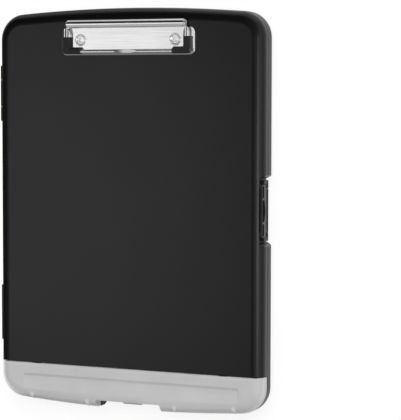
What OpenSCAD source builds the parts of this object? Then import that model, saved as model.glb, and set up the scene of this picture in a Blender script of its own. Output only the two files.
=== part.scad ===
// Storage clipboard box: a flat case that opens like a book, with a pen bay at its foot.
// It lies on its back. X runs from the hinges to the latch, Y towards the clip and Z up out of
// the writing face. The origin is the middle of the back, on the surface that the case lies on.

/* [Case] */
// Length over the two bowed ends
case_l = 340; // [320:1:370]
// Width over the side walls
case_w = 248; // [240:1:270]
// Thickness from the back to the writing face
case_t = 24; // [23:0.5:30]
// Radius of the corners in plan
corner_r = 22; // [18:0.5:28]
// Radius of each bowed end
end_r = 1300; // [1000:50:1800]
// Radius of the edge round the writing face
face_r = 8; // [6.5:0.5:9]
// Radius of the edge round the back
back_r = 7; // [5:0.5:9]
// Height of the joint between the tray and what closes it
part_z = 13.2; // [12.5:0.1:14]
// Thickness of the tray and cover walls
wall = 2.2; // [1.9:0.1:2.5]
// Height of the locating lip above the joint
lip_h = 1.8; // [1.2:0.1:2.2]
// Thickness of the locating lip
lip_t = 1.2; // [0.9:0.1:1.6]
// Gap between a piece that moves and the one it shuts against
run_gap = 0.3; // [0.2:0.05:0.4]
// Running clearance of a pin in its bore
pin_gap = 0.05; // [0.02:0.01:0.1]

/* [Pen bay] */
// Length of the pen lid, seam to the crown of the bowed end
pen_l = 35.5; // [32:0.5:42]
// Width of the seam between the cover and the pen lid
seam = 0.5; // [0.4:0.1:0.8]
// Thickness of the pen lid
pen_wall = 1.6; // [1.4:0.1:2]
// Radius of the pen lid's hinged edge
pen_edge_r = 2.6; // [2.4:0.1:3]
// Radius of the pen lid's hinge pins
pen_pin_r = 0.75; // [0.6:0.05:0.9]
// Distance of each pen hinge in from the side of the case
pen_hinge_in = 36; // [30:1:60]
// Length of the tray's ear in each pen hinge
pen_ear_l = 8; // [6:0.5:12]
// Thickness of the divider between papers and pens
divider_t = 2; // [1.6:0.1:2.4]
// Half length of the finger notch in the foot
notch_half = 30.5; // [24:0.5:40]
// Depth of the finger notch
notch_d = 6.8; // [5.5:0.1:8]
// Width of the thumb tab in the notch
tab_w = 18.5; // [12:0.5:26]
// How far the thumb tab stands out
tab_d = 2.6; // [1.5:0.1:3.5]
// Thickness of the thumb tab
tab_t = 1.8; // [1.2:0.1:2.5]
// Length of the sunk panel in the pen lid
panel_l = 205; // [160:1:206]
// Depth of the panel under its upper edge
panel_d = 0.7; // [0.4:0.1:0.9]
// How far the lid's snaps sit off the middle, towards the latch
snap_x = 3.2; // [-4:0.1:4]

/* [Cover hinges] */
// Distance between the middles of the two hinges
hinge_span = 191.4; // [150:0.2:210]
// Where the middle of hinges and latch lies along the case
side_mid = 2.5; // [-6:0.5:8]
// Length of the cover's knuckle
cover_knuckle = 23; // [18:0.5:28]
// Length of each tray knuckle
tray_knuckle = 12.5; // [9:0.5:15]
// Radius of the knuckles
knuckle_r = 2.5; // [2.2:0.1:2.8]
// Distance of the hinge axis outside the wall
hinge_out = 1.3; // [1:0.1:1.8]
// Radius of the hinge pins
hinge_pin_r = 1; // [0.8:0.05:1.2]

/* [Latch] */
// Length of the latch flap
latch_l = 50; // [44:0.5:56]
// Length of each tray knuckle of the latch
latch_knuckle = 7; // [5:0.5:9]
// Depth of the latch recess
recess_d = 6.8; // [6.4:0.1:7.5]
// Thickness of the roof over the recess, under the writing face
recess_roof = 1.6; // [1.4:0.1:4]
// Height of the latch's axis
latch_z = 5.2; // [4.8:0.1:5.8]
// Radius of the latch's barrel
latch_r = 1.8; // [1.6:0.05:2]
// Radius of the latch pin
latch_pin_r = 0.8; // [0.6:0.05:1]
// Thickness of the latch flap
flap_t = 1.8; // [1.6:0.1:2]
// How far the hook reaches over the catch
hook_bite = 1; // [0.6:0.1:1.3]

/* [Clip] */
// How far the clip sits off the middle, towards the latch
clip_x = 1.2; // [-3:0.1:3]
// Length of the base plate
clip_w = 124.4; // [110:0.2:140]
// Height of the base plate, up to its rolled edge
clip_h = 22.8; // [20:0.2:27]
// Distance from the middle of the case to the foot of the base plate
clip_y = 130.4; // [120:0.2:134]
// Thickness of the base plate
plate_t = 0.8; // [0.6:0.05:1]
// Length of the roll round the rod
roll_l = 109; // [100:1:112]
// Outer radius of the roll
roll_r = 3.5; // [3.2:0.05:3.8]
// Radius of the clip's rod
rod_r = 1.5; // [1.3:0.05:1.6]
// Wire radius of the springs
wire_r = 0.3; // [0.25:0.01:0.35]
// Turns in each spring
coil_turns = 7; // [5:1:9]
// Thickness of the jaw's steel
jaw_t = 1; // [0.8:0.05:1.2]
// Height of the jaw's arms above the writing face
jaw_z = 4.4; // [4.1:0.1:5]
// Width of each arm of the jaw
arm_w = 6.6; // [6:0.1:7]
// Radius of the rounded bar that joins the arms
bar_r = 1.6; // [1.4:0.05:1.9]
// Distance from the foot of the base plate to the middle of the bar
bar_in = 3.1; // [2.6:0.1:4]
// Length of the rubber pad along the arm
pad_arm = 14.2; // [11:0.1:15]
// Length of the rubber pad along the bar
pad_foot = 16.3; // [13:0.1:24]
// Thickness of the rubber round the steel
pad_t = 0.5; // [0.4:0.05:0.7]
// Distance between the two rivets
rivet_span = 88.6; // [80:0.2:94]
// Radius of a rivet's head
rivet_r = 2.3; // [2:0.05:2.6]
// Radius of the raised ring round a rivet
ring_r = 4.7; // [4:0.1:5]
// Radius of a rivet's shank
shank_r = 1.5; // [1.2:0.05:1.7]
// Radius of the backing washers
washer_r = 4.2; // [3.6:0.1:5]

/* [Hidden] */

$fn = 64;
long_arc_fn = 240;
black = [0.16, 0.16, 0.17];
frosted = [0.74, 0.75, 0.76];
bright_steel = [0.85, 0.86, 0.88];
rubber_black = [0.07, 0.07, 0.07];
past = 1;                // how far a cutter runs past what it cuts
root = 0.4;              // how far a boss or web is rooted in its wall

// Plan outline: straight sides, bowed ends and corner arcs tangent to both.
end_cy = case_l / 2 - end_r;
end_bow = end_r - sqrt(pow(end_r, 2) - pow(case_w / 2, 2));
corner_x = case_w / 2 - corner_r;
corner_y = end_cy + sqrt(pow(end_r - corner_r, 2) - pow(corner_x, 2));
corner_lean = asin(corner_x / (end_r - corner_r));
swept_w = corner_r - 1;  // how far in the swept edges run
plate_lap = 2;           // how far the flat plates run out under the swept edges
plate_more = 0.2;        // how much thicker they are than the walls
plane_h = 0.4;           // what is planed off the broad faces
plane_in = 0.4;          // where their curves meet them
foot_y = -case_l / 2;
part_edge = 0.4;         // the small bevel on both edges of the joint
tongue_half = 72.3;      // half length of the tongue on the cover's skirt
tongue_drop = 2;         // how far the tongue drops below the joint
hand_half = 66.4;        // half width of the hand recess in the back
hand_d = 1.1;
hand_l = 24;

// Cover hinges
web_h = 0.85 * knuckle_r;
hinge_x = -case_w / 2 - hinge_out;
hinge_l = cover_knuckle + 2 * tray_knuckle;
hinge_ys = [side_mid + hinge_span / 2, side_mid - hinge_span / 2];

// Seam, divider and the pen lid's hinge
pen_top = foot_y + pen_l;
cover_foot = pen_top + seam;
pen_hinge_x = case_w / 2 - pen_hinge_in;
pen_axis_y = pen_top - pen_edge_r;
pen_axis_z = case_t - pen_edge_r;
ear_r = pen_pin_r + 0.95;
divider_y = pen_axis_y + 0.4;
divider_z = pen_axis_z - pen_edge_r - 0.5;
pen_swing_r = pen_axis_z - part_z - run_gap;   // what is left of the lid's side at its hinge
boss_l = 9;
notch_soft = 1.5;        // radius of the notch's inner corners
tab_z = 0.3;             // how far above the joint the thumb tab starts
sill = 0.15;             // how much lower the notch's wall is than the tray's edge
panel_top = pen_top - 9.3;
panel_run = 14;          // how far below its upper edge the panel comes flush again
panel_slope = 2.4;       // width of the slope down from its upper edge
panel_soft = 4;          // radius of its corners
nub_xs = [95.3, 41.3];   // where the four snaps are, either side of snap_x
nub_l = 8;
nub_r = 2.2;
nub_edge_r = 5.4;        // edge radius of the nubs, under the lid's own face_r

// Latch
wall_x = case_w / 2;
recess_z = case_t - recess_roof;
recess_x = wall_x - recess_d;
roof_x = recess_x + 3;   // where the roof over the recess ends
latch_x = recess_x + run_gap + latch_r;
recess_half = latch_l / 2 + 1;
recess_splay = 3.6;
pillar_l = 3.2;          // the pillars on the tray that flank the flap
pillar_x = recess_x + 4.1;
pillar_z = part_z + 1.4;
flap_x = wall_x - 1.7;
flap_half = latch_l / 2 - pillar_l - run_gap;
flap_low = part_z - 0.8;
flap_top = recess_z - 1.8;
catch_z = part_z + 1.9;
catch_h = 1.6;
catch_x = flap_x - flap_t - run_gap;
hook_z = catch_z + catch_h + run_gap;
window_z = flap_top - 3.9;
window_h = 3.2;
window_d = 1.1;
middle_window = 18;

// Clip
face_z = case_t;
under_z = case_t - wall - plate_more;
pad_lift = 0.05;
rod_y = clip_y + clip_h + roll_r - 0.2;
rod_z = face_z + roll_r;
rivet_y = clip_y + 12.7;
dish_d = 0.3;            // depth of the dish that holds a rivet's head
bar_y = clip_y + bar_in;
ear_x = roll_l / 2 + 0.3;
ear_back = 9;
ear_round = rod_r + 0.9;
arm_mid = ear_x + 0.6;
arm_r = arm_w / 2;
arm_z = face_z + jaw_z - arm_r;
bar_z = face_z + jaw_z - bar_r;
jaw_low = face_z + plate_t + pad_lift;
scoop_r = 70;            // the bar dips in the middle, cut by this radius
scoop_d = 0.8;
pad_out = arm_mid + arm_r + pad_t;
pad_in = arm_mid - arm_r - pad_t;
pad_front = bar_y - bar_r - pad_t;
pad_back = bar_y + bar_r + pad_t + 1.6;
pad_top = face_z + jaw_z + pad_t;
pad_soft = 3.2;          // radius of the pad's outer corner
coil_r = rod_r + 0.1 + wire_r;
coil_sides = 8;
coil_steps = 14;
washer_t = 0.6;
tail_h = 0.9;

// Carries an edge section round the outline. The section's x runs in from the outline, up to
// swept_w, and its y is the height.
module round_outline() {
    for (end = [0, 1]) mirror([0, end, 0]) {
        for (side = [0, 1]) mirror([side, 0, 0])
            translate([corner_x, corner_y, 0])
                rotate_extrude(angle = 90 - corner_lean)
                    translate([corner_r, 0]) mirror([1, 0]) children();
        translate([0, end_cy, 0])
            rotate([0, 0, 90 - corner_lean])
                rotate_extrude(angle = 2 * corner_lean, $fn = long_arc_fn)
                    translate([end_r, 0]) mirror([1, 0]) children();
    }
    for (side = [0, 1]) mirror([side, 0, 0])
        translate([case_w / 2, corner_y, 0])
            rotate([90, 0, 0])
                linear_extrude(2 * corner_y) mirror([1, 0]) children();
}

// Section of an edge that turns over into a flat top, with its lower corner bevelled by edge.
// Inside the curve it stands spare above its height, to be planed off with the flat plate.
module over_section(inset, low, high, r, edge = 0, spare = 0) {
    curve_w = spare > 0 ? r - plane_in : r;
    polygon([
        [inset, low + edge],
        [inset + edge, low],
        [swept_w, low],
        [swept_w, high + spare],
        [inset + curve_w, high + spare],
        [inset + curve_w, high - r],
        [inset, high - r]]);
    intersection() {
        translate([inset + r, high - r]) circle(r);
        translate([inset, high - r]) square(r);
    }
}

// The same, turned under into a flat bottom.
module under_section(inset, low, high, r, edge = 0, spare = 0) {
    translate([0, low + high]) mirror([0, 1]) over_section(inset, low, high, r, edge, spare);
}

// The flat plate inside the swept edges.
module slab(low, high) {
    half_x = corner_x + plate_lap;
    half_y = case_l / 2 - corner_r + plate_lap;
    translate([-half_x, -half_y, low]) cube([2 * half_x, 2 * half_y, high - low]);
}

// Planes both broad faces of its children flat.
module planed() {
    difference() {
        children();
        for (z = [case_t, -case_t])
            translate([-case_w, -case_l, z]) cube([2 * case_w, 2 * case_l, case_t]);
    }
}

// The upper half of the case as a solid, and as a shell of wall t.
module upper_solid() planed() {
    round_outline() over_section(0, part_z, case_t, face_r, part_edge, plane_h);
    slab(part_z - plane_h, case_t + 2 * plane_h);
}

module upper_shell(t) planed() {
    round_outline() difference() {
        over_section(0, part_z, case_t, face_r, part_edge, plane_h);
        over_section(t, part_z - past, case_t - t, face_r - t);
    }
    slab(case_t - t - plate_more, case_t + 2 * plane_h);
}

module lower_solid() planed() {
    round_outline() under_section(0, 0, part_z, back_r, part_edge, plane_h);
    slab(-2 * plane_h, part_z + plane_h);
}

module lower_shell() planed() {
    round_outline() difference() {
        under_section(0, 0, part_z, back_r, part_edge, plane_h);
        under_section(wall, wall, part_z + past, back_r - wall);
    }
    slab(-2 * plane_h, wall + plate_more);
}

// The lip that stands up inside the joint and locates the cover and the pen lid.
module locating_lip() {
    lip_in = wall + run_gap;
    round_outline() polygon([
        [wall - root, part_z - 3 * lip_t],
        [lip_in + lip_t, part_z - lip_t],
        [lip_in + lip_t, part_z + lip_h],
        [lip_in, part_z + lip_h],
        [lip_in, part_z],
        [wall - root, part_z]]);
}

// Everything from y_low to y_high, far past the case elsewhere.
module y_band(y_low, y_high) {
    translate([-case_w, y_low, -case_t]) cube([2 * case_w, y_high - y_low, 3 * case_t]);
}

// A cylinder along X, and one along Y, each centred on its length.
module rod_x(r, l) {
    rotate([0, 90, 0]) cylinder(r = r, h = l, center = true);
}

module rod_y_along(r, l) {
    rotate([90, 0, 0]) cylinder(r = r, h = l, center = true);
}

// The finger notch in the foot, grown on its three sides by grow.
module notch(grow, low, high) {
    half = notch_half + grow;
    translate([0, foot_y, low]) linear_extrude(high - low) {
        translate([-half, -past]) square([2 * half, notch_d + grow + past - notch_soft]);
        translate([-half + notch_soft, -past]) square([2 * (half - notch_soft), notch_d + grow + past]);
        for (x = [-1, 1])
            translate([x * (half - notch_soft), notch_d + grow - notch_soft]) circle(notch_soft);
    }
}

// The latch recess in the side, grown by grow.
module recess(grow, low, high) {
    translate([0, side_mid, low]) linear_extrude(high - low)
        polygon([
            [recess_x - grow, -recess_half - grow],
            [wall_x + past, -recess_half - recess_splay - grow],
            [wall_x + past, recess_half + recess_splay + grow],
            [recess_x - grow, recess_half + grow]]);
}

// One knuckle of a cover hinge: the barrel, and the web that carries it on its shell. up is 1 on
// the cover and -1 on the tray.
module knuckle(y, l, up) {
    translate([hinge_x, y, part_z]) {
        rod_y_along(knuckle_r, l);
        translate([0, -l / 2, up > 0 ? 0 : -web_h])
            cube([hinge_out + root, l, web_h]);
    }
}

// Calls its children at the middle of each hinge.
module at_hinges() {
    for (y = hinge_ys) translate([0, y, 0]) children();
}

// Shallow hand recess in the back, under the clip end.
module hand_recess() {
    translate([0, case_l / 2 + past, 0]) rotate([90, 0, 0]) linear_extrude(hand_l)
        polygon([
            [-hand_half, -past],
            [-hand_half, 0],
            [-hand_half + 3 * hand_d, hand_d],
            [hand_half - 3 * hand_d, hand_d],
            [hand_half, 0],
            [hand_half, -past]]);
}

// The rounded tongue of the cover's skirt at the clip end, grown by grow.
module tongue(grow) {
    half = tongue_half + grow;
    drop = tongue_drop + grow;
    translate([0, case_l / 2 + past, part_z]) rotate([90, 0, 0])
        linear_extrude(end_bow + wall + past) {
            translate([-half + drop, -drop]) square([2 * (half - drop), drop + past]);
            for (x = [-1, 1]) translate([x * (half - drop), 0]) circle(drop);
        }
}

module back_tray() color(black) {
    difference() {
        union() {
            lower_shell();
            difference() {
                locating_lip();
                recess(wall + run_gap, 0, case_t);
                notch(wall + run_gap, 0, case_t);
                y_band(divider_y - 4, cover_foot + wall + run_gap);
            }
            intersection() {
                lower_solid();
                union() {
                    recess(wall, 0, part_z);
                    notch(wall, 0, part_z - sill);
                }
            }
            divider();
            at_hinges() for (s = [-1, 1])
                knuckle(s * (cover_knuckle + tray_knuckle) / 2, tray_knuckle - run_gap, -1);
            latch_seats();
        }
        recess_cut_for_tray();
        notch(0, -past, part_z + past);
        at_hinges() {
            translate([hinge_x, 0, part_z]) {
                rod_y_along(hinge_pin_r + pin_gap, hinge_l + 2 * past);
                rod_y_along(knuckle_r + run_gap, cover_knuckle + run_gap);
            }
        }
        intersection() {
            round_outline() translate([-past, 0]) square([wall - root + past, part_z + past]);
            tongue(run_gap);
        }
        hand_recess();
    }
}

// The wall between papers and pens, with the two ears that carry the pen lid.
module divider() {
    low_half = wall_x - wall + root;
    high_half = wall_x - face_r + 1.5;
    translate([-low_half, divider_y, wall - root])
        cube([2 * low_half, divider_t, part_z - wall + root]);
    translate([-high_half, divider_y, wall])
        cube([2 * high_half, divider_t, divider_z - wall]);
    for (s = [-1, 1]) translate([s * pen_hinge_x, pen_axis_y, pen_axis_z]) difference() {
        union() {
            rod_x(ear_r, pen_ear_l);
            translate([-pen_ear_l / 2, -0.8 * ear_r, divider_z - pen_axis_z - 3])
                cube([pen_ear_l, divider_y - pen_axis_y + 0.8 * ear_r + root, 3]);
            translate([-pen_ear_l / 2, -0.8 * ear_r, divider_z - pen_axis_z - root])
                cube([pen_ear_l, 1.6 * ear_r, pen_axis_z - divider_z + root]);
        }
        rod_x(pen_pin_r + pin_gap, pen_ear_l + past);
    }
}

module recess_cut_for_tray() {
    difference() {
        recess(0, -past, part_z + lip_h + past);
        latch_seats();
    }
    translate([latch_x, side_mid, latch_z]) rod_y_along(latch_pin_r + pin_gap, latch_l + past);
}

// The two knuckles on the tray that hold the latch pin, each with a pillar beside the flap.
module latch_seats() {
    for (s = [-1, 1]) translate([0, side_mid, 0]) {
        translate([latch_x, s * (latch_l - latch_knuckle) / 2, latch_z]) {
            rod_y_along(latch_r, latch_knuckle - run_gap);
            translate([-latch_r - run_gap - root, -(latch_knuckle - run_gap) / 2, -0.8 * latch_r])
                cube([latch_r + run_gap + root, latch_knuckle - run_gap, 1.6 * latch_r]);
        }
        translate([0, s * (latch_l - pillar_l) / 2, 0]) rotate([90, 0, 0])
            linear_extrude(pillar_l, center = true) polygon([
                [recess_x - root, latch_z + 0.4],
                [pillar_x, latch_z + 0.4],
                [pillar_x, pillar_z],
                [recess_x + run_gap, pillar_z],
                [recess_x + run_gap, part_z - sill],
                [recess_x - root, part_z - sill]]);
    }
}

module front_cover() color(black) {
    difference() {
        union() {
            intersection() {
                upper_shell(wall);
                y_band(cover_foot, case_l);
            }
            intersection() {
                upper_solid();
                union() {
                    recess(wall, part_z, recess_z + wall);
                    translate([-case_w, cover_foot, part_z])
                        cube([2 * case_w, wall, case_t]);
                }
            }
            intersection() {
                round_outline() square([wall - root - run_gap, part_z + past]);
                tongue(0);
            }
            at_hinges() knuckle(0, cover_knuckle - run_gap, 1);
        }
        recess(0, part_z - past, recess_z);
        intersection() {
            recess(0, part_z, case_t + past);
            translate([roof_x, -case_l / 2, 0]) cube([case_w, case_l, 2 * case_t]);
        }
        at_hinges() {
            translate([hinge_x, 0, part_z]) {
                rod_y_along(hinge_pin_r + pin_gap, hinge_l + past);
                for (s = [-1, 1]) translate([0, s * (cover_knuckle + tray_knuckle) / 2, 0])
                    rod_y_along(knuckle_r + run_gap, tray_knuckle + run_gap);
            }
        }
        for (s = [-1, 1]) translate([clip_x + s * rivet_span / 2, rivet_y, under_z - past])
            cylinder(r = shank_r, h = wall + plate_more + 2 * past);
    }
    catch();
}

// The rib on the cover that the latch's hook holds down.
module catch() {
    translate([recess_x, side_mid, catch_z]) rotate([90, 0, 0])
        linear_extrude(latch_l - 2 * latch_knuckle, center = true)
            polygon([
                [-root, 0],
                [catch_x - recess_x - 0.5, 0],
                [catch_x - recess_x, 0.5],
                [catch_x - recess_x, catch_h],
                [-root, catch_h]]);
}

module pen_lid() color(frosted) {
    difference() {
        union() {
            intersection() {
                union() {
                    upper_shell(pen_wall);
                    intersection() {
                        upper_solid();
                        notch(pen_wall, part_z, case_t);
                    }
                }
                y_band(foot_y - past, pen_top);
            }
            pen_edge();
            thumb_tab();
            snap_nubs();
        }
        notch_without_tab();
        pen_edge_round();
        ear_room();
        panel_cut();
        for (s = [-1, 1]) translate([s * pen_hinge_x, pen_axis_y, pen_axis_z])
            rod_x(pen_pin_r + 0.02, pen_ear_l + 2 * boss_l - 0.6);
    }
}

// The half-round hinged edge, with the solid bosses that hold the pins.
module pen_edge() {
    flat_half = wall_x - face_r;
    translate([0, pen_axis_y, pen_axis_z]) {
        difference() {
            rod_x(pen_edge_r, 2 * flat_half);
            rod_x(pen_edge_r - pen_wall + 0.4, 2 * flat_half + past);
            translate([-case_w, -2 * case_t, -case_t]) cube([2 * case_w, 2 * case_t, case_t * 2]);
            translate([-case_w, -past, -case_t - 0.6]) cube([2 * case_w, case_t, case_t]);
        }
        for (s = [-1, 1]) translate([s * pen_hinge_x, 0, 0])
            rod_x(pen_edge_r - 0.1, pen_ear_l + 2 * boss_l);
    }
}

// Rounds the hinged edge about its own axis and trims the side walls, so that the lid can swing.
module pen_edge_round() {
    translate([0, pen_axis_y, pen_axis_z]) {
        difference() {
            translate([-case_w, 0, 0]) cube([2 * case_w, 2 * pen_edge_r, 2 * pen_edge_r]);
            rod_x(pen_edge_r, 3 * case_w);
        }
        difference() {
            translate([-case_w, 0, -case_t]) cube([2 * case_w, 2 * pen_edge_r, case_t]);
            rod_x(pen_swing_r, 3 * case_w);
        }
    }
}

// Room in the hinged edge for the tray's ears, through the whole swing.
module ear_room() {
    for (s = [-1, 1]) translate([s * pen_hinge_x, pen_axis_y, pen_axis_z]) {
        rod_x(ear_r + 0.2, pen_ear_l + 2 * run_gap);
        translate([-pen_ear_l / 2 - run_gap, -ear_r - 0.2, -2 * pen_edge_r])
            cube([pen_ear_l + 2 * run_gap, 3 * pen_edge_r, 2 * pen_edge_r + 0.9 * ear_r]);
    }
}

module notch_without_tab() {
    difference() {
        notch(0, part_z - past, case_t + past);
        thumb_tab();
    }
}

// The ledge under the notch's wall that a thumb pushes up.
module thumb_tab() {
    soft = 1.2;
    translate([clip_x, foot_y + notch_d - tab_d, part_z + tab_z]) linear_extrude(tab_t) {
        translate([-tab_w / 2, soft]) square([tab_w, tab_d + root - soft]);
        translate([-tab_w / 2 + soft, 0]) square([tab_w - 2 * soft, tab_d + root]);
        for (s = [-1, 1]) translate([s * (tab_w / 2 - soft), soft]) circle(soft);
    }
}

// Four drop-shaped nubs on the lower edge, over the snaps moulded behind it.
module snap_nubs() {
    intersection() {
        round_outline() difference() {
            over_section(0, part_z + 3, case_t, nub_edge_r);
            over_section(pen_wall, part_z, case_t - pen_wall, face_r - pen_wall);
        }
        for (x = [-nub_xs[0], -nub_xs[1], nub_xs[1], nub_xs[0]]) {
            translate([x + snap_x, -sqrt(pow(end_r, 2) - pow(x + snap_x, 2)) - end_cy, part_z + 3])
                linear_extrude(case_t) {
                    translate([0, nub_l - nub_r]) circle(nub_r);
                    polygon([
                        [-0.97 * nub_r, nub_l - 1.25 * nub_r],
                        [-0.3, 0.3],
                        [0.3, 0.3],
                        [0.97 * nub_r, nub_l - 1.25 * nub_r]]);
                }
        }
    }
}

// The sunk panel: it slopes down from its upper edge, then rises gently to flush at the foot.
module panel_cut() {
    translate([clip_x, panel_top, 0]) intersection() {
        rotate([90, 0, 90]) linear_extrude(panel_l, center = true)
            polygon([
                [0, case_t],
                [-panel_slope, case_t - panel_d],
                [-panel_run, case_t],
                [-panel_run, case_t + past],
                [0, case_t + past]]);
        translate([0, -2 * panel_run, case_t - 2 * panel_d]) linear_extrude(4 * panel_d) {
            translate([-panel_l / 2, 0]) square([panel_l, 2 * panel_run - panel_soft]);
            translate([-panel_l / 2 + panel_soft, 0])
                square([panel_l - 2 * panel_soft, 2 * panel_run + past]);
            for (s = [-1, 1])
                translate([s * (panel_l / 2 - panel_soft), 2 * panel_run - panel_soft])
                    circle(panel_soft);
        }
    }
}

module cover_pin(y) {
    color(bright_steel) translate([hinge_x, y, part_z]) rod_y_along(hinge_pin_r, hinge_l - 0.6);
}

module cover_pin_upper() cover_pin(hinge_ys[0]);

module cover_pin_lower() cover_pin(hinge_ys[1]);

module side_latch() color(black) {
    barrel_l = latch_l - 2 * latch_knuckle - run_gap;
    difference() {
        union() {
            translate([latch_x, side_mid, latch_z]) rod_y_along(latch_r, barrel_l);
            translate([0, side_mid, 0]) rotate([90, 0, 0]) {
                linear_extrude(barrel_l, center = true) flap_root();
                linear_extrude(2 * flap_half, center = true) flap_section();
                linear_extrude(barrel_l - 2, center = true) hook_section();
            }
            finger_lip();
        }
        translate([latch_x, side_mid, latch_z]) rod_y_along(latch_pin_r + pin_gap, latch_l);
        flap_windows();
    }
}

// The leaf that joins the flap to its barrel, set back behind the flap's face.
module flap_root() {
    polygon([
        [latch_x - 0.5 * latch_r, latch_z + 0.6 * latch_r],
        [latch_x + 0.6 * latch_r, latch_z + 0.6 * latch_r],
        [flap_x - 1.2, flap_low],
        [flap_x - 0.6, flap_low + 0.6],
        [flap_x - flap_t + 0.2, flap_low + 1.4]]);
}

module flap_section() {
    polygon([
        [flap_x - flap_t, flap_low],
        [flap_x - 0.5, flap_low],
        [flap_x, flap_low + 0.6],
        [flap_x, flap_top - 0.4],
        [flap_x - 0.4, flap_top],
        [flap_x - flap_t, flap_top]]);
}

module hook_section() {
    polygon([
        [flap_x - flap_t + root, hook_z],
        [catch_x - hook_bite, hook_z],
        [catch_x - hook_bite, hook_z + 0.6],
        [flap_x - flap_t - 0.4, flap_top - 0.8],
        [flap_x - flap_t + root, flap_top - 0.8]]);
}

// Three shallow windows in the flap's outer face.
module flap_windows() {
    rib = 1.6;
    side_l = flap_half - middle_window / 2 - rib - 0.8;
    for (s = [-1, 1])
        translate([flap_x - window_d, side_mid + s * (flap_half - 0.8 - side_l / 2) - side_l / 2, window_z])
            cube([window_d + past, side_l, window_h]);
    translate([flap_x - window_d, side_mid - middle_window / 2, window_z])
        cube([window_d + past, middle_window, window_h]);
}

// The bowed ledge under the middle window that a finger pulls.
module finger_lip() {
    bow_r = 46;
    translate([flap_x - flap_t + root, side_mid, window_z - 1.5]) linear_extrude(1.5) intersection() {
        translate([flap_t - root + 1 - bow_r, 0]) circle(bow_r);
        translate([0, -middle_window / 2]) square([3 * flap_t, middle_window]);
    }
}

module latch_pin() {
    color(bright_steel) translate([latch_x, side_mid, latch_z]) rod_y_along(latch_pin_r, latch_l - 0.6);
}

module pen_pin(s) {
    color(bright_steel) translate([s * pen_hinge_x, pen_axis_y, pen_axis_z])
        rod_x(pen_pin_r, pen_ear_l + 2 * boss_l - 1);
}

module pen_pin_left() pen_pin(-1);

module pen_pin_right() pen_pin(1);

// Stamped plate with rounded corners; its upper edge is rolled round the rod.
module clip_base() color(bright_steel) translate([clip_x, 0, 0]) {
    soft = 4.5;
    difference() {
        union() {
            translate([0, clip_y, face_z]) linear_extrude(plate_t) {
                translate([-clip_w / 2 + soft, 0]) square([clip_w - 2 * soft, clip_h]);
                translate([-clip_w / 2, soft]) square([clip_w, clip_h - 2 * soft]);
                for (x = [-1, 1], y = [soft, clip_h - soft])
                    translate([x * (clip_w / 2 - soft), y]) circle(soft);
            }
            translate([-roll_l / 2, clip_y + clip_h - past, face_z])
                cube([roll_l, past + roll_r - 0.6, plate_t]);
            for (s = [-1, 1]) translate([s * rivet_span / 2, rivet_y, face_z + plate_t - 0.1])
                rotate_extrude() translate([ring_r, 0]) circle(0.45);
        }
        translate([0, rod_y, rod_z]) rod_x(roll_r - plate_t, roll_l + past);
        for (s = [-1, 1]) translate([s * rivet_span / 2, rivet_y, face_z]) {
            translate([0, 0, -past]) cylinder(r = shank_r, h = 2 * past + plate_t);
            translate([0, 0, plate_t - dish_d])
                cylinder(r1 = ring_r - 1.5, r2 = ring_r - 0.6, h = dish_d + 0.1);
        }
    }
    roll();
}

// The rolled edge: a tube left open in front, under its free edge.
module roll() {
    translate([0, rod_y, rod_z]) difference() {
        rod_x(roll_r, roll_l);
        rod_x(roll_r - plate_t, roll_l + past);
        rotate([20, 0, 0]) translate([-roll_l, -2 * roll_r, -0.9])
            cube([2 * roll_l, 2 * roll_r, 0.9]);
    }
}

// A stamped bail: an ear and an arched arm each side, and the rounded bar that presses the papers.
module jaw_blank() {
    for (s = [0, 1]) mirror([s, 0, 0]) {
        intersection() {
            translate([arm_mid, 0, arm_z]) difference() {
                rod_y_along(arm_r, 3 * case_w);
                rod_y_along(arm_r - jaw_t, 3 * case_w);
            }
            translate([0, 0, arm_z + 0.5]) linear_extrude(2 * arm_r) arm_plan();
        }
        translate([ear_x, rod_y - ear_back, rod_z - 1.6])
            cube([jaw_t, ear_back, face_z + jaw_z - rod_z + 1.6 - 0.35]);
        translate([ear_x + jaw_t / 2, rod_y, rod_z]) rod_x(ear_round, jaw_t);
    }
    translate([0, bar_y, bar_z]) rod_x(bar_r, 2 * arm_mid + arm_w - 3);
    translate([-arm_mid - arm_w / 2 + 2, bar_y - jaw_t / 2, jaw_low])
        cube([2 * arm_mid + arm_w - 4, jaw_t, bar_z - jaw_low]);
}

// The right arm in plan, narrowing to its ear.
module arm_plan() {
    out = arm_mid + arm_r;
    in = arm_mid - arm_r;
    polygon([
        [in, bar_y],
        [out - 1.5, bar_y],
        [out, bar_y + 1.5],
        [out, rod_y - 8],
        [ear_x + 2.4, rod_y - 3.2],
        [ear_x - 0.1, rod_y - 3.2],
        [in, rod_y - 9.5]]);
}

module clip_jaw() color(bright_steel) translate([clip_x, 0, 0]) {
    difference() {
        jaw_blank();
        translate([0, rod_y, rod_z]) rod_x(rod_r + pin_gap, 2 * (ear_x + arm_w));
        translate([0, bar_y, face_z + jaw_z + scoop_r - scoop_d]) rod_y_along(scoop_r, 4 * bar_r);
    }
}

// The rod runs from ear to ear, and its ends are peened over.
module clip_rod() color(bright_steel) {
    translate([clip_x, rod_y, rod_z]) {
        rod_x(rod_r, 2 * (ear_x + jaw_t) + 0.4);
        for (s = [0, 1]) mirror([s, 0, 0]) translate([ear_x + jaw_t + 0.1, 0, 0]) rotate([0, 90, 0])
            cylinder(r1 = rod_r + 0.3, r2 = rod_r - 0.3, h = 0.4);
    }
}

// A torsion spring on the rod: a close coil swept as one tube.
function coil_point(a, t) = let (x = t / coil_steps, ring = 360 * t / coil_steps)
    [2.1 * wire_r * x, (coil_r + wire_r * cos(a)) * cos(ring), (coil_r + wire_r * cos(a)) * sin(ring)]
    + [wire_r * sin(a), 0, 0];

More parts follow.
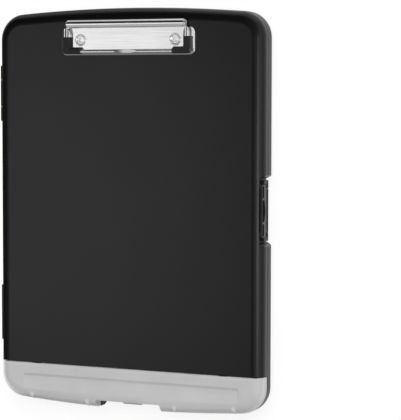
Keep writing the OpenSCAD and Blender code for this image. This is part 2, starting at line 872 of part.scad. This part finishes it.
module coil() {
    n = coil_sides;
    rings = coil_turns * coil_steps;
    pts = [for (t = [0:rings]) for (k = [0:n - 1]) coil_point(-360 * k / n, t)];
    skin = [for (t = [0:rings - 1]) for (k = [0:n - 1])
        let (m = (k + 1) % n) [t * n + k, t * n + m, (t + 1) * n + m, (t + 1) * n + k]];
    caps = [[for (k = [n - 1:-1:0]) k], [for (k = [0:n - 1]) rings * n + k]];
    polyhedron(points = pts, faces = concat(skin, caps));
}

module clip_spring(s) {
    color(bright_steel) translate([clip_x + s * (roll_l / 2 - 12), rod_y, rod_z])
        mirror([s > 0 ? 0 : 1, 0, 0]) coil();
}

module clip_spring_left() clip_spring(-1);

module clip_spring_right() clip_spring(1);

// A rubber boot pushed over one corner of the jaw: a flat-topped sleeve each way.
module clip_pad(s) {
    color(rubber_black) translate([clip_x, 0, 0]) mirror([s > 0 ? 0 : 1, 0, 0]) difference() {
        intersection() {
            union() {
                translate([0, pad_front + pad_arm, 0]) rotate([90, 0, 0])
                    linear_extrude(pad_arm) pad_arm_section();
                translate([pad_out - pad_foot, 0, 0]) rotate([90, 0, 90])
                    linear_extrude(pad_foot) pad_foot_section();
            }
            translate([0, 0, jaw_low]) linear_extrude(jaw_z + 2 * pad_t) {
                translate([pad_out - pad_foot, pad_front]) square([pad_foot - pad_soft, pad_arm]);
                translate([pad_out - pad_soft - past, pad_front + pad_soft])
                    square([pad_soft + past, pad_arm - pad_soft]);
                translate([pad_out - pad_soft, pad_front + pad_soft]) circle(pad_soft);
            }
        }
        jaw_blank();
    }
}

module pad_arm_section() {
    polygon([
        [pad_in, jaw_low],
        [pad_in + 0.5, jaw_low + 1.2],
        [arm_mid - 1.6, pad_top],
        [arm_mid + 2.6, pad_top],
        [pad_out, pad_top - 1.3],
        [pad_out, jaw_low]]);
}

module pad_foot_section() {
    polygon([
        [pad_front, jaw_low],
        [pad_front, pad_top - 1],
        [pad_front + 0.8, pad_top],
        [bar_y + 1.6, pad_top],
        [pad_back - 0.4, jaw_low + 1.2],
        [pad_back, jaw_low]]);
}

module clip_pad_left() clip_pad(-1);

module clip_pad_right() clip_pad(1);

// Dome head in its dish, shank through plate and cover, and the tail clenched on its washer.
module clip_rivet(s) {
    head_z = face_z + plate_t - dish_d;
    inside_z = under_z - washer_t;
    dome_h = 1.1;
    dome_r = (pow(rivet_r, 2) + pow(dome_h, 2)) / (2 * dome_h);
    color(bright_steel) translate([clip_x + s * rivet_span / 2, rivet_y, 0]) {
        intersection() {
            translate([0, 0, head_z + dome_h - dome_r]) sphere(dome_r);
            translate([0, 0, head_z]) cylinder(r = rivet_r + past, h = dome_h + past);
        }
        translate([0, 0, inside_z - tail_h / 2])
            cylinder(r = shank_r, h = head_z - inside_z + tail_h / 2 + 0.1);
        translate([0, 0, inside_z - tail_h]) cylinder(r1 = rivet_r - 0.5, r2 = rivet_r, h = tail_h);
    }
}

module clip_rivet_left() clip_rivet(-1);

module clip_rivet_right() clip_rivet(1);

module rivet_washer(s) {
    color(bright_steel) translate([clip_x + s * rivet_span / 2, rivet_y, under_z - washer_t])
        difference() {
            cylinder(r = washer_r, h = washer_t);
            translate([0, 0, -past]) cylinder(r = shank_r, h = washer_t + 2 * past);
        }
}

module rivet_washer_left() rivet_washer(-1);

module rivet_washer_right() rivet_washer(1);

back_tray();
front_cover();
pen_lid();
cover_pin_upper();
cover_pin_lower();
side_latch();
latch_pin();
pen_pin_left();
pen_pin_right();
clip_base();
clip_jaw();
clip_rod();
clip_spring_left();
clip_spring_right();
clip_pad_left();
clip_pad_right();
clip_rivet_left();
clip_rivet_right();
rivet_washer_left();
rivet_washer_right();
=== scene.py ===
import math

import bpy
from mathutils import Matrix, Vector

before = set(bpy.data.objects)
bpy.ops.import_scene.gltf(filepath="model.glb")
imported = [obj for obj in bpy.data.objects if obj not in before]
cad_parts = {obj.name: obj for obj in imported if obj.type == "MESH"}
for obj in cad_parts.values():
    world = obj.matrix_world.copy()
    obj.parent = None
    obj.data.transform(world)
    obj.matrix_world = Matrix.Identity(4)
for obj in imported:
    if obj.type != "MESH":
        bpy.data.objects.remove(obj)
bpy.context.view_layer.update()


# ---- Back tray --------------------------------------------------------------------------------
# The lower half of the case: floor, walls and outer hinge knuckles in one injection moulding of
# black ABS. Its outside carries the mould's fine spark texture, a little smoother where hands and
# desks have rubbed it. Its inside is duller, and its colour there is painted paler: painted light
# that lifts the shaded interior.

half_w, half_l, corner_r, end_r = 0.124, 0.17, 0.022, 1.3
millimetre = 0.001


class Wire:
    """A shader socket that can be used in Python expressions."""

    def __init__(self, mixture, socket):
        self.mixture = mixture
        self.socket = socket

    def __abs__(self):
        return self.mixture.maths("ABSOLUTE", self)

    def __add__(self, other):
        return self.mixture.maths("ADD", self, other)

    def __sub__(self, other):
        return self.mixture.maths("SUBTRACT", self, other)

    def __rsub__(self, other):
        return self.mixture.maths("SUBTRACT", other, self)

    def __mul__(self, other):
        return self.mixture.maths("MULTIPLY", self, other)

    def __lt__(self, other):
        return self.mixture.maths("LESS_THAN", self, other)

    __radd__ = __add__
    __rmul__ = __mul__


class Mixture:
    """A node tree under construction."""

    def __init__(self, tree):
        self.tree = tree

    def node(self, kind, settings=None, sockets=None, out=0):
        made = self.tree.nodes.new("ShaderNode" + kind)
        for key, value in (settings or {}).items():
            setattr(made, key, value)
        for key, value in (sockets or {}).items():
            if isinstance(value, Wire):
                self.tree.links.new(value.socket, made.inputs[key])
            else:
                made.inputs[key].default_value = value
        return Wire(self, made.outputs[out])

    def maths(self, operation, *terms):
        return self.node("Math", {"operation": operation}, dict(enumerate(terms)))

    def parts(self, vector):
        """The x, y and z of a vector."""
        split = self.node("SeparateXYZ", None, {0: vector})
        return [Wire(self, split.socket.node.outputs[axis]) for axis in "XYZ"]

    def span(self, value, low, high, to_low=0.0, to_high=1.0, shape="LINEAR"):
        """Maps value from low..high onto to_low..to_high, clamped."""
        return self.node("MapRange", {"interpolation_type": shape},
                         {"Value": value, "From Min": low, "From Max": high,
                          "To Min": to_low, "To Max": to_high})

    def blend(self, mask, first, second):
        return self.node("Mix", {"data_type": "RGBA"}, {0: mask, 6: first, 7: second}, out=2)


class Finish(Mixture):
    """One material: a Principled shader with fixed values, and the nodes that vary it."""

    def __init__(self, name, **fixed):
        self.material = bpy.data.materials.new(name)
        self.material.use_nodes = True
        super().__init__(self.material.node_tree)
        for socket, value in fixed.items():
            self.shader_input(socket).default_value = value

    def shader_input(self, name):
        name = name.replace("_", " ").title().replace("Ior", "IOR")
        return self.tree.nodes["Principled BSDF"].inputs[name]

    def feed(self, **sockets):
        for name, wire in sockets.items():
            self.tree.links.new(wire.socket, self.shader_input(name))
        return self

    def place(self):
        return self.node("TexCoord", out="Object")

    def noise(self, size, detail=2.0, stretch=(1, 1, 1), roughness=0.5):
        """Noise with features of the given size in metres, from 0 to 1."""
        place = self.node("Mapping", None, {"Vector": self.place(), "Scale": stretch})
        return self.node("TexNoise", None, {"Vector": place, "Scale": 1 / size, "Detail": detail,
                                            "Roughness": roughness})

    def bumped(self, height, depth, strength=1.0, over=None):
        """The surface raised by height times depth, on top of another bumped surface."""
        sockets = {"Height": height, "Distance": depth, "Strength": strength}
        if over:
            sockets["Normal"] = over
        return self.node("Bump", None, sockets)

    def inset(self):
        """How far a point lies inside the outline of the case, seen from the front."""
        x, y, _ = self.parts(self.place())
        bow = x * x * (0.5 / end_r)
        out_x = self.maths("MAXIMUM", abs(x) - (half_w - corner_r), 0)
        out_y = self.maths("MAXIMUM", abs(y) + bow - (half_l - corner_r), 0)
        return corner_r - self.maths("SQRT", out_x * out_x + out_y * out_y)

    def shoulder(self):
        """The soft shoulder along the case's edge, where the flat face starts to fall away."""
        foot, brow, fall = 0.0052, 0.0108, -0.5
        height = self.span(self.inset(), foot, brow, fall, 0, "SMOOTHERSTEP")
        return self.bumped(height, millimetre)


def grey(level, tint=(1, 1, 1)):
    return tuple(level * part for part in tint) + (1,)


def moulded_black(name, tone, roughness, grain):
    """Black plastic with the mould's grain, polished by handling outside; inside duller, with
    painted light.
    """
    hand_patch, spark_pit, spark_roughness = 0.045, 0.0006, 0.08
    # The inside's paler tone is painted light, lifting the shaded interior; its roughness is real.
    inner_painted_light_tone, inner_roughness = 0.013, 0.52
    behind_wall, above_floor, below_face = (0.0023, 0.0026), (0.001, 0.0015), (0.0222, 0.0227)
    finish = Finish(name, Specular_IOR_Level=0.46)
    handled = finish.noise(hand_patch, detail=3)
    spark = finish.noise(spark_pit, detail=2, roughness=0.7)
    worn = finish.span(handled, 0.35, 0.7)
    rubbed = finish.span(handled, 0.3, 0.7, roughness - 0.012, roughness + 0.012)
    _, _, height = finish.parts(finish.place())
    inside = (finish.span(finish.inset(), *behind_wall) * finish.span(height, *above_floor)
              * finish.span(height, *below_face, 1, 0))
    outer_tone = finish.blend(worn, grey(tone * 0.92), grey(tone * 1.1))
    # Inside, the colour is painted paler: painted light.
    return finish.feed(base_color=finish.blend(inside, outer_tone, grey(inner_painted_light_tone)),
                       roughness=(rubbed + inside * (inner_roughness - roughness)
                                  + (spark - 0.5) * spark_roughness),
                       normal=finish.bumped(spark, grain, strength=0.35, over=finish.shoulder()))


def dress(finish, *nodes):
    for name in nodes:
        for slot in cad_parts[name].material_slots:
            slot.material = finish.material


dress(moulded_black("moulded_shell", tone=0.0022, roughness=0.36, grain=0.00003), "back_tray")


# ---- Cover hinges -----------------------------------------------------------------------------
# Two barrel hinges are moulded into the long side: outer knuckles on the tray, one on the cover.
# A length of drawn steel wire is pushed through each as its pin, and the wire keeps the fine
# lines that the die left along it.

wire_tint = (1, 1, 1.02)
pin_steel = Finish("drawn_wire", Metallic=1.0, Base_Color=grey(0.55, wire_tint))
drawn = pin_steel.noise(size=0.0004, detail=2, stretch=(1, 0.04, 1))
pin_steel.feed(roughness=pin_steel.span(drawn, 0.3, 0.7, 0.24, 0.38))
dress(pin_steel, "cover_pin_upper", "cover_pin_lower")


# ---- Cover ------------------------------------------------------------------------------------
# The upper half, moulded in the same black ABS. Its flat top is the writing face, so the grain is
# finer there and a little burnished by paper.

dress(moulded_black("moulded_cover", tone=0.0022, roughness=0.31, grain=0.00002), "front_cover")


# ---- Side latch -------------------------------------------------------------------------------
# A flap moulded in black acetal, smoother and less deep a black than the shells. It turns on a
# steel pin in the tray's recess, and its hook snaps over the cover's catch.

dress(moulded_black("moulded_latch", tone=0.012, roughness=0.3, grain=0.00001), "side_latch")
dress(pin_steel, "latch_pin")


# ---- Pen lid ----------------------------------------------------------------------------------
# The lid over the pens, moulded in pale frosted polypropylene that lets a little light through.
# Its rim is painted paler, most of all along the left edge, where a painted glow is added too:
# painted light. Two short steel pins hinge it beside the seam, and four snaps hold its front; a
# pale drop is painted over each as a painted highlight.

# The pale tone over the snaps is a painted highlight.
lid_tones, snap_highlight_tone = (0.47, 0.5), 0.58
# Painted light: the rim is painted paler, much paler on the left than on the right.
rim_light_inset, left_rim_light_tone, right_rim_light_tone = (0.0004, 0.0018), 0.96, 0.6
snap_mid, outer_snap, inner_snap = 0.0032, 0.0953, 0.0413
snap_highlight_radius, snap_highlight_inset, lid_front = (0.001, 0.0026), (0.0048, 0.0062), -0.1
panel_mid, panel_half, panel_depth = 0.0012, (0.1005, 0.1025), 0.00042
panel_foot, panel_step = (-0.1578, -0.15), (-0.1488, -0.1438)
# Reach of a painted glow along the lid's left edge.
glow_inset, glow_side = (0.0041, 0.0051), (-0.116, -0.1)

lid_plastic = Finish("frosted_lid", Specular_IOR_Level=0.4, Subsurface_Weight=0.15,
                     Subsurface_Radius=(1, 1, 1), Subsurface_Scale=0.0015,
                     Emission_Strength=0.25)
across, along, _ = lid_plastic.parts(lid_plastic.place())
inset = lid_plastic.inset()
cloud = lid_plastic.span(lid_plastic.noise(size=0.03, detail=3), 0.35, 0.65)
frost = lid_plastic.noise(size=0.0005, detail=2)

# Painted light: a paler band along the lid's rim.
rim_light = lid_plastic.span(inset, *rim_light_inset, 1, 0)
rim_light_tone = lid_plastic.blend(lid_plastic.span(across, -0.1, 0.1),
                             grey(left_rim_light_tone), grey(right_rim_light_tone))
from_middle = abs(across - snap_mid)
to_snap = lid_plastic.maths("MINIMUM", abs(from_middle - outer_snap), abs(from_middle - inner_snap))
# Painted highlight: a pale drop painted over each snap.
snap_highlight = (lid_plastic.span(to_snap, *snap_highlight_radius, 1, 0) * lid_plastic.span(inset, *snap_highlight_inset, 1, 0)
        * (along < lid_front))
lid_tone = lid_plastic.blend(cloud, grey(lid_tones[0]), grey(lid_tones[1]))
lid_tone = lid_plastic.blend(rim_light, lid_tone, rim_light_tone)
lid_tone = lid_plastic.blend(snap_highlight * (1 - rim_light), lid_tone, grey(snap_highlight_tone))

in_panel = (lid_plastic.span(abs(across - panel_mid), *panel_half, 1, 0)
            * lid_plastic.span(along, *panel_foot))
below_step = lid_plastic.span(along, *panel_step)
sunk = in_panel * (below_step * below_step - 1)
panel = lid_plastic.bumped(sunk, panel_depth, over=lid_plastic.shoulder())
# Painted glow: the lid's left edge emits light, though it is no lamp.
painted_edge_glow = (lid_plastic.span(inset, *glow_inset, 1, 0)
             * lid_plastic.span(across, *glow_side, 1, 0))
lid_plastic.feed(base_color=lid_tone,
                 emission_color=lid_plastic.blend(painted_edge_glow, grey(0), grey(1)),
                 roughness=lid_plastic.span(frost, 0.3, 0.7, 0.4, 0.5),
                 normal=lid_plastic.bumped(frost, 0.00001, strength=0.3, over=panel))
dress(lid_plastic, "pen_lid")
dress(pin_steel, "pen_pin_left", "pen_pin_right")


# ---- Clip base plate --------------------------------------------------------------------------
# Spring steel sheet, stamped, rolled round the rod at the far edge and turned over at the near
# and left edges, then bright nickel-plated. The plating shows the rolled sheet's faint lines. Along
# the near edge, below the jaw's bar, the colour is painted darker: painted shade.

near_edge, left_edge, edge_fall = (0.1303, 0.1328), (-0.0611, -0.0588), -0.9
# A painted shade along the plate's near edge.
shaded_rim, shaded_tone, line_depth = (0.1318, 0.1328), 0.45, 0.000004


def rolled_lines(finish):
    return finish.noise(size=0.0006, detail=3, stretch=(0.02, 1, 1))


plate_steel = Finish("nickel_sheet", Metallic=1.0)
rolled = rolled_lines(plate_steel)
across, along, _ = plate_steel.parts(plate_steel.place())
turned_over = (plate_steel.span(along, *near_edge, edge_fall, 0)
               + plate_steel.span(across, *left_edge, edge_fall, 0))
plate_tone = plate_steel.blend(rolled, grey(0.92), grey(0.97))
# Painted shade: a darker band along the plate's near edge.
plate_tone = plate_steel.blend(plate_steel.span(along, *shaded_rim, 1, 0), plate_tone,
                               grey(shaded_tone))
plate_steel.feed(base_color=plate_tone,
                 roughness=plate_steel.span(rolled, 0.3, 0.7, 0.17, 0.24),
                 normal=plate_steel.bumped(rolled, line_depth, strength=0.3,
                                           over=plate_steel.bumped(turned_over, millimetre)))
dress(plate_steel, "clip_base")


# ---- Clip rod and jaw -------------------------------------------------------------------------
# A steel rod lies in the plate's roll, and the jaw turns on its ends: a bail stamped from the same
# sheet, with two arched arms and a rounded bar that presses the papers. A shallow scoop in the
# middle of the bar gives the thumb a hold, and its colour is painted darker there: painted shade
# that dims the scoop's reflection.

# The scoop's tone is painted shade that dims its reflection.
scoop_mid, scoop_half, scoop_reach, scoop_shade_tone = 0.0012, (0.009, 0.013), (0.138, 0.139), 0.6

jaw_steel = Finish("nickel_plate", Metallic=1.0)
rolled = rolled_lines(jaw_steel)
across, along, _ = jaw_steel.parts(jaw_steel.place())
# Painted shade: the scoop's colour is darker, which dims its reflection.
scoop = (jaw_steel.span(abs(across - scoop_mid), *scoop_half, 1, 0)
         * jaw_steel.span(along, *scoop_reach, 1, 0))
jaw_tone = jaw_steel.blend(rolled, grey(0.82), grey(0.88))
jaw_steel.feed(base_color=jaw_steel.blend(scoop, jaw_tone, grey(scoop_shade_tone)),
               roughness=jaw_steel.span(rolled, 0.3, 0.7, 0.16, 0.24),
               normal=jaw_steel.bumped(rolled, line_depth, strength=0.3))
dress(jaw_steel, "clip_jaw", "clip_rod")


# ---- Clip springs -----------------------------------------------------------------------------
# Two torsion springs of tempered steel wire, coiled round the rod inside the roll. One leg of each
# bears on the plate and the other on the jaw, and they press it shut.

spring_steel = Finish("spring_wire", Metallic=1.0, Base_Color=grey(0.5, wire_tint))
scale_marks = spring_steel.noise(size=0.0005)
spring_steel.feed(roughness=spring_steel.span(scale_marks, 0.3, 0.7, 0.25, 0.4))
dress(spring_steel, "clip_spring_left", "clip_spring_right")


# ---- Clip pads --------------------------------------------------------------------------------
# Black rubber boots, moulded by themselves and pushed over the corners of the jaw, so that it
# holds the papers without marking them. The rubber has a faint bloom.

pad_rubber = Finish("black_rubber", Specular_IOR_Level=0.45)
bloom = pad_rubber.noise(size=0.004, detail=3)
pad_rubber.feed(base_color=pad_rubber.blend(bloom, grey(0.006), grey(0.011)),
                roughness=pad_rubber.span(bloom, 0.3, 0.7, 0.42, 0.55))
dress(pad_rubber, "clip_pad_left", "clip_pad_right")


# ---- Clip rivets ------------------------------------------------------------------------------
# Two headed steel rivets, tumbled to a soft shine, go through the plate and the cover and are set
# over plain washers on the inside.

rivet_steel = Finish("tumbled_rivets", Metallic=0.5)
tumbled = rivet_steel.noise(size=0.0005, detail=3)
rivet_steel.feed(base_color=rivet_steel.blend(tumbled, grey(0.86), grey(0.93)),
                 roughness=rivet_steel.span(tumbled, 0.3, 0.7, 0.3, 0.42))
dress(rivet_steel, "clip_rivet_left", "clip_rivet_right")
dress(spring_steel, "rivet_washer_left", "rivet_washer_right")


# ---- Floor ------------------------------------------------------------------------------------
# A wide sheet painted matt white, which looks white and holds the case's soft shadow. The case's
# glossy edges mirror it white close by, greyer farther out to the right, and black on the left.

floor_half, seen_glow = 6.0, 0.85
near_glow, far_glow = 0.95, 0.5
plain_tone, seen_tone, mirrored_tone = 0.7, 0.15, 0.05

paint = Finish("floor_paint", Roughness=0.9, Specular_IOR_Level=0.1, Emission_Strength=1.0)
seen = paint.node("LightPath", out="Is Camera Ray")
mirrored = paint.node("LightPath", out="Is Glossy Ray")
through = paint.node("LightPath", out="Is Transmission Ray")
x, y, _ = paint.parts(paint.place())
lit_side = paint.maths("MAXIMUM", paint.span(x, -0.16, 0.1), paint.span(y, 0.1, 0.4))
farther_out = paint.span(x, 0.14, 0.22)
in_mirror = paint.blend(lit_side, grey(0.0),
                        paint.blend(farther_out, grey(near_glow), grey(far_glow)))
glow = paint.blend(seen + through, paint.blend(mirrored, grey(0.0), in_mirror), grey(seen_glow))
bounce = paint.blend(seen, grey(plain_tone), grey(seen_tone))
paint.feed(base_color=paint.blend(mirrored, bounce, grey(mirrored_tone)), emission_color=glow)

sheet = bpy.data.meshes.new("floor")
sheet.from_pydata([(-floor_half, -floor_half, 0), (floor_half, -floor_half, 0),
                   (floor_half, floor_half, 0), (-floor_half, floor_half, 0)], [], [(0, 1, 2, 3)])
sheet.materials.append(paint.material)
floor = bpy.data.objects.new("floor", sheet)
bpy.context.collection.objects.link(floor)


# ---- Lamps ------------------------------------------------------------------------------------
# Two softboxes near the level of the case, which the rounded edges mirror as narrow highlights,
# and two broad fill lamps that light the plastic and show in no mirror.

def bearing(turn, rise):
    """The direction of what is turned to the right of the case's face and raised, in degrees."""
    turn, rise = math.radians(turn), math.radians(rise)
    return Vector((math.sin(turn) * math.cos(rise), math.sin(rise),
                   math.cos(turn) * math.cos(rise)))


def lamp(name, turn, rise, reach, size, radiance, mirrored=True):
    """A softbox that faces the case from the given distance."""
    data = bpy.data.lights.new(name, "AREA")
    data.shape = "RECTANGLE"
    data.size, data.size_y = size
    data.energy = radiance * math.pi * size[0] * size[1]
    made = bpy.data.objects.new(name, data)
    bpy.context.collection.objects.link(made)
    made.location = reach * bearing(turn, rise)
    made.rotation_euler = made.location.to_track_quat("Z", "Y").to_euler()
    made.visible_glossy = mirrored


lamp("left_box", turn=-31, rise=-3, reach=1.55, size=(0.76, 0.7), radiance=0.91)
lamp("right_box", turn=30, rise=-4, reach=1.9, size=(0.46, 0.72), radiance=4.2)
lamp("fill", turn=14, rise=28, reach=1.9, size=(1.6, 1.3), radiance=4.9, mirrored=False)
lamp("low_fill", turn=-80, rise=0, reach=1.6, size=(0.7, 1.2), radiance=2.6, mirrored=False)


# ---- Room -------------------------------------------------------------------------------------
# The eye sees a white backdrop. As the case's surfaces mirror it, the room is pale on the right and
# at both ends, and nearly black on the left towards the far end, which keeps the black deep.

world = bpy.data.worlds.new("studio")
bpy.context.scene.world = world
world.use_nodes = True
room = Mixture(world.node_tree)
x, y, z = room.parts(room.node("TexCoord", out="Generated"))
side = room.maths("DEGREES", room.maths("ARCTAN2", x, z))
wall = (room.span(side, 34, 50, 0.12, 0.58) - room.span(side, -75, -36, 0.09, 0)
        + room.span(y, -0.3, -0.7, 0, 0.35) + room.span(y, 0.7, 0.95, 0, 0.5))
dark = room.span(y, 0.06, 0.26) * room.span(x, -0.3, 0.0, 1, 0) * room.span(y, 0.7, 0.9, 1, 0)
darkening = 0.96
seen = room.node("LightPath", out="Is Camera Ray")
backdrop = room.tree.nodes["Background"]
backdrop.inputs["Color"].default_value = grey(1.0)
room.tree.links.new(room.maths("MAXIMUM", wall * (1 - darkening * dark), seen).socket,
                    backdrop.inputs["Strength"])


# ---- Camera -----------------------------------------------------------------------------------
# A long lens, well to the latch's side of the case and raised a little towards the clip. The
# middle of the case falls left of the middle of the picture.

turn, rise, roll = 26.71, 3.716, -0.031
distance, focal_px, sensor = 1.56765, 1849.12, 36
case_middle = Vector((0, 0, 0.012))
middle_px, picture_px = (132.992, 209.606), (401, 420)


def swung(first, second, angle):
    """Two axes at right angles, both turned by an angle in their own plane."""
    return (math.cos(angle) * first + math.sin(angle) * second,
            math.cos(angle) * second - math.sin(angle) * first)


towards = bearing(turn, rise)
right = Vector((0, 1, 0)).cross(towards).normalized()
up = towards.cross(right)
pan = math.atan((middle_px[0] - picture_px[0] / 2) / focal_px)
tilt = math.atan(-(middle_px[1] - picture_px[1] / 2) / focal_px * math.cos(pan))
back, right = swung(towards, right, pan)
back, up = swung(back, up, tilt)
right, up = swung(right, up, math.radians(roll))

camera = bpy.data.objects.new("camera", bpy.data.cameras.new("camera"))
bpy.context.collection.objects.link(camera)
camera.data.sensor_width = sensor
camera.data.lens = focal_px * sensor / picture_px[1]
camera.data.clip_end = 30
camera.matrix_world = (Matrix.Translation(case_middle + distance * towards)
                       @ Matrix((right, up, back)).transposed().to_4x4())
bpy.context.scene.camera = camera
bpy.context.scene.view_settings.view_transform = "Standard"
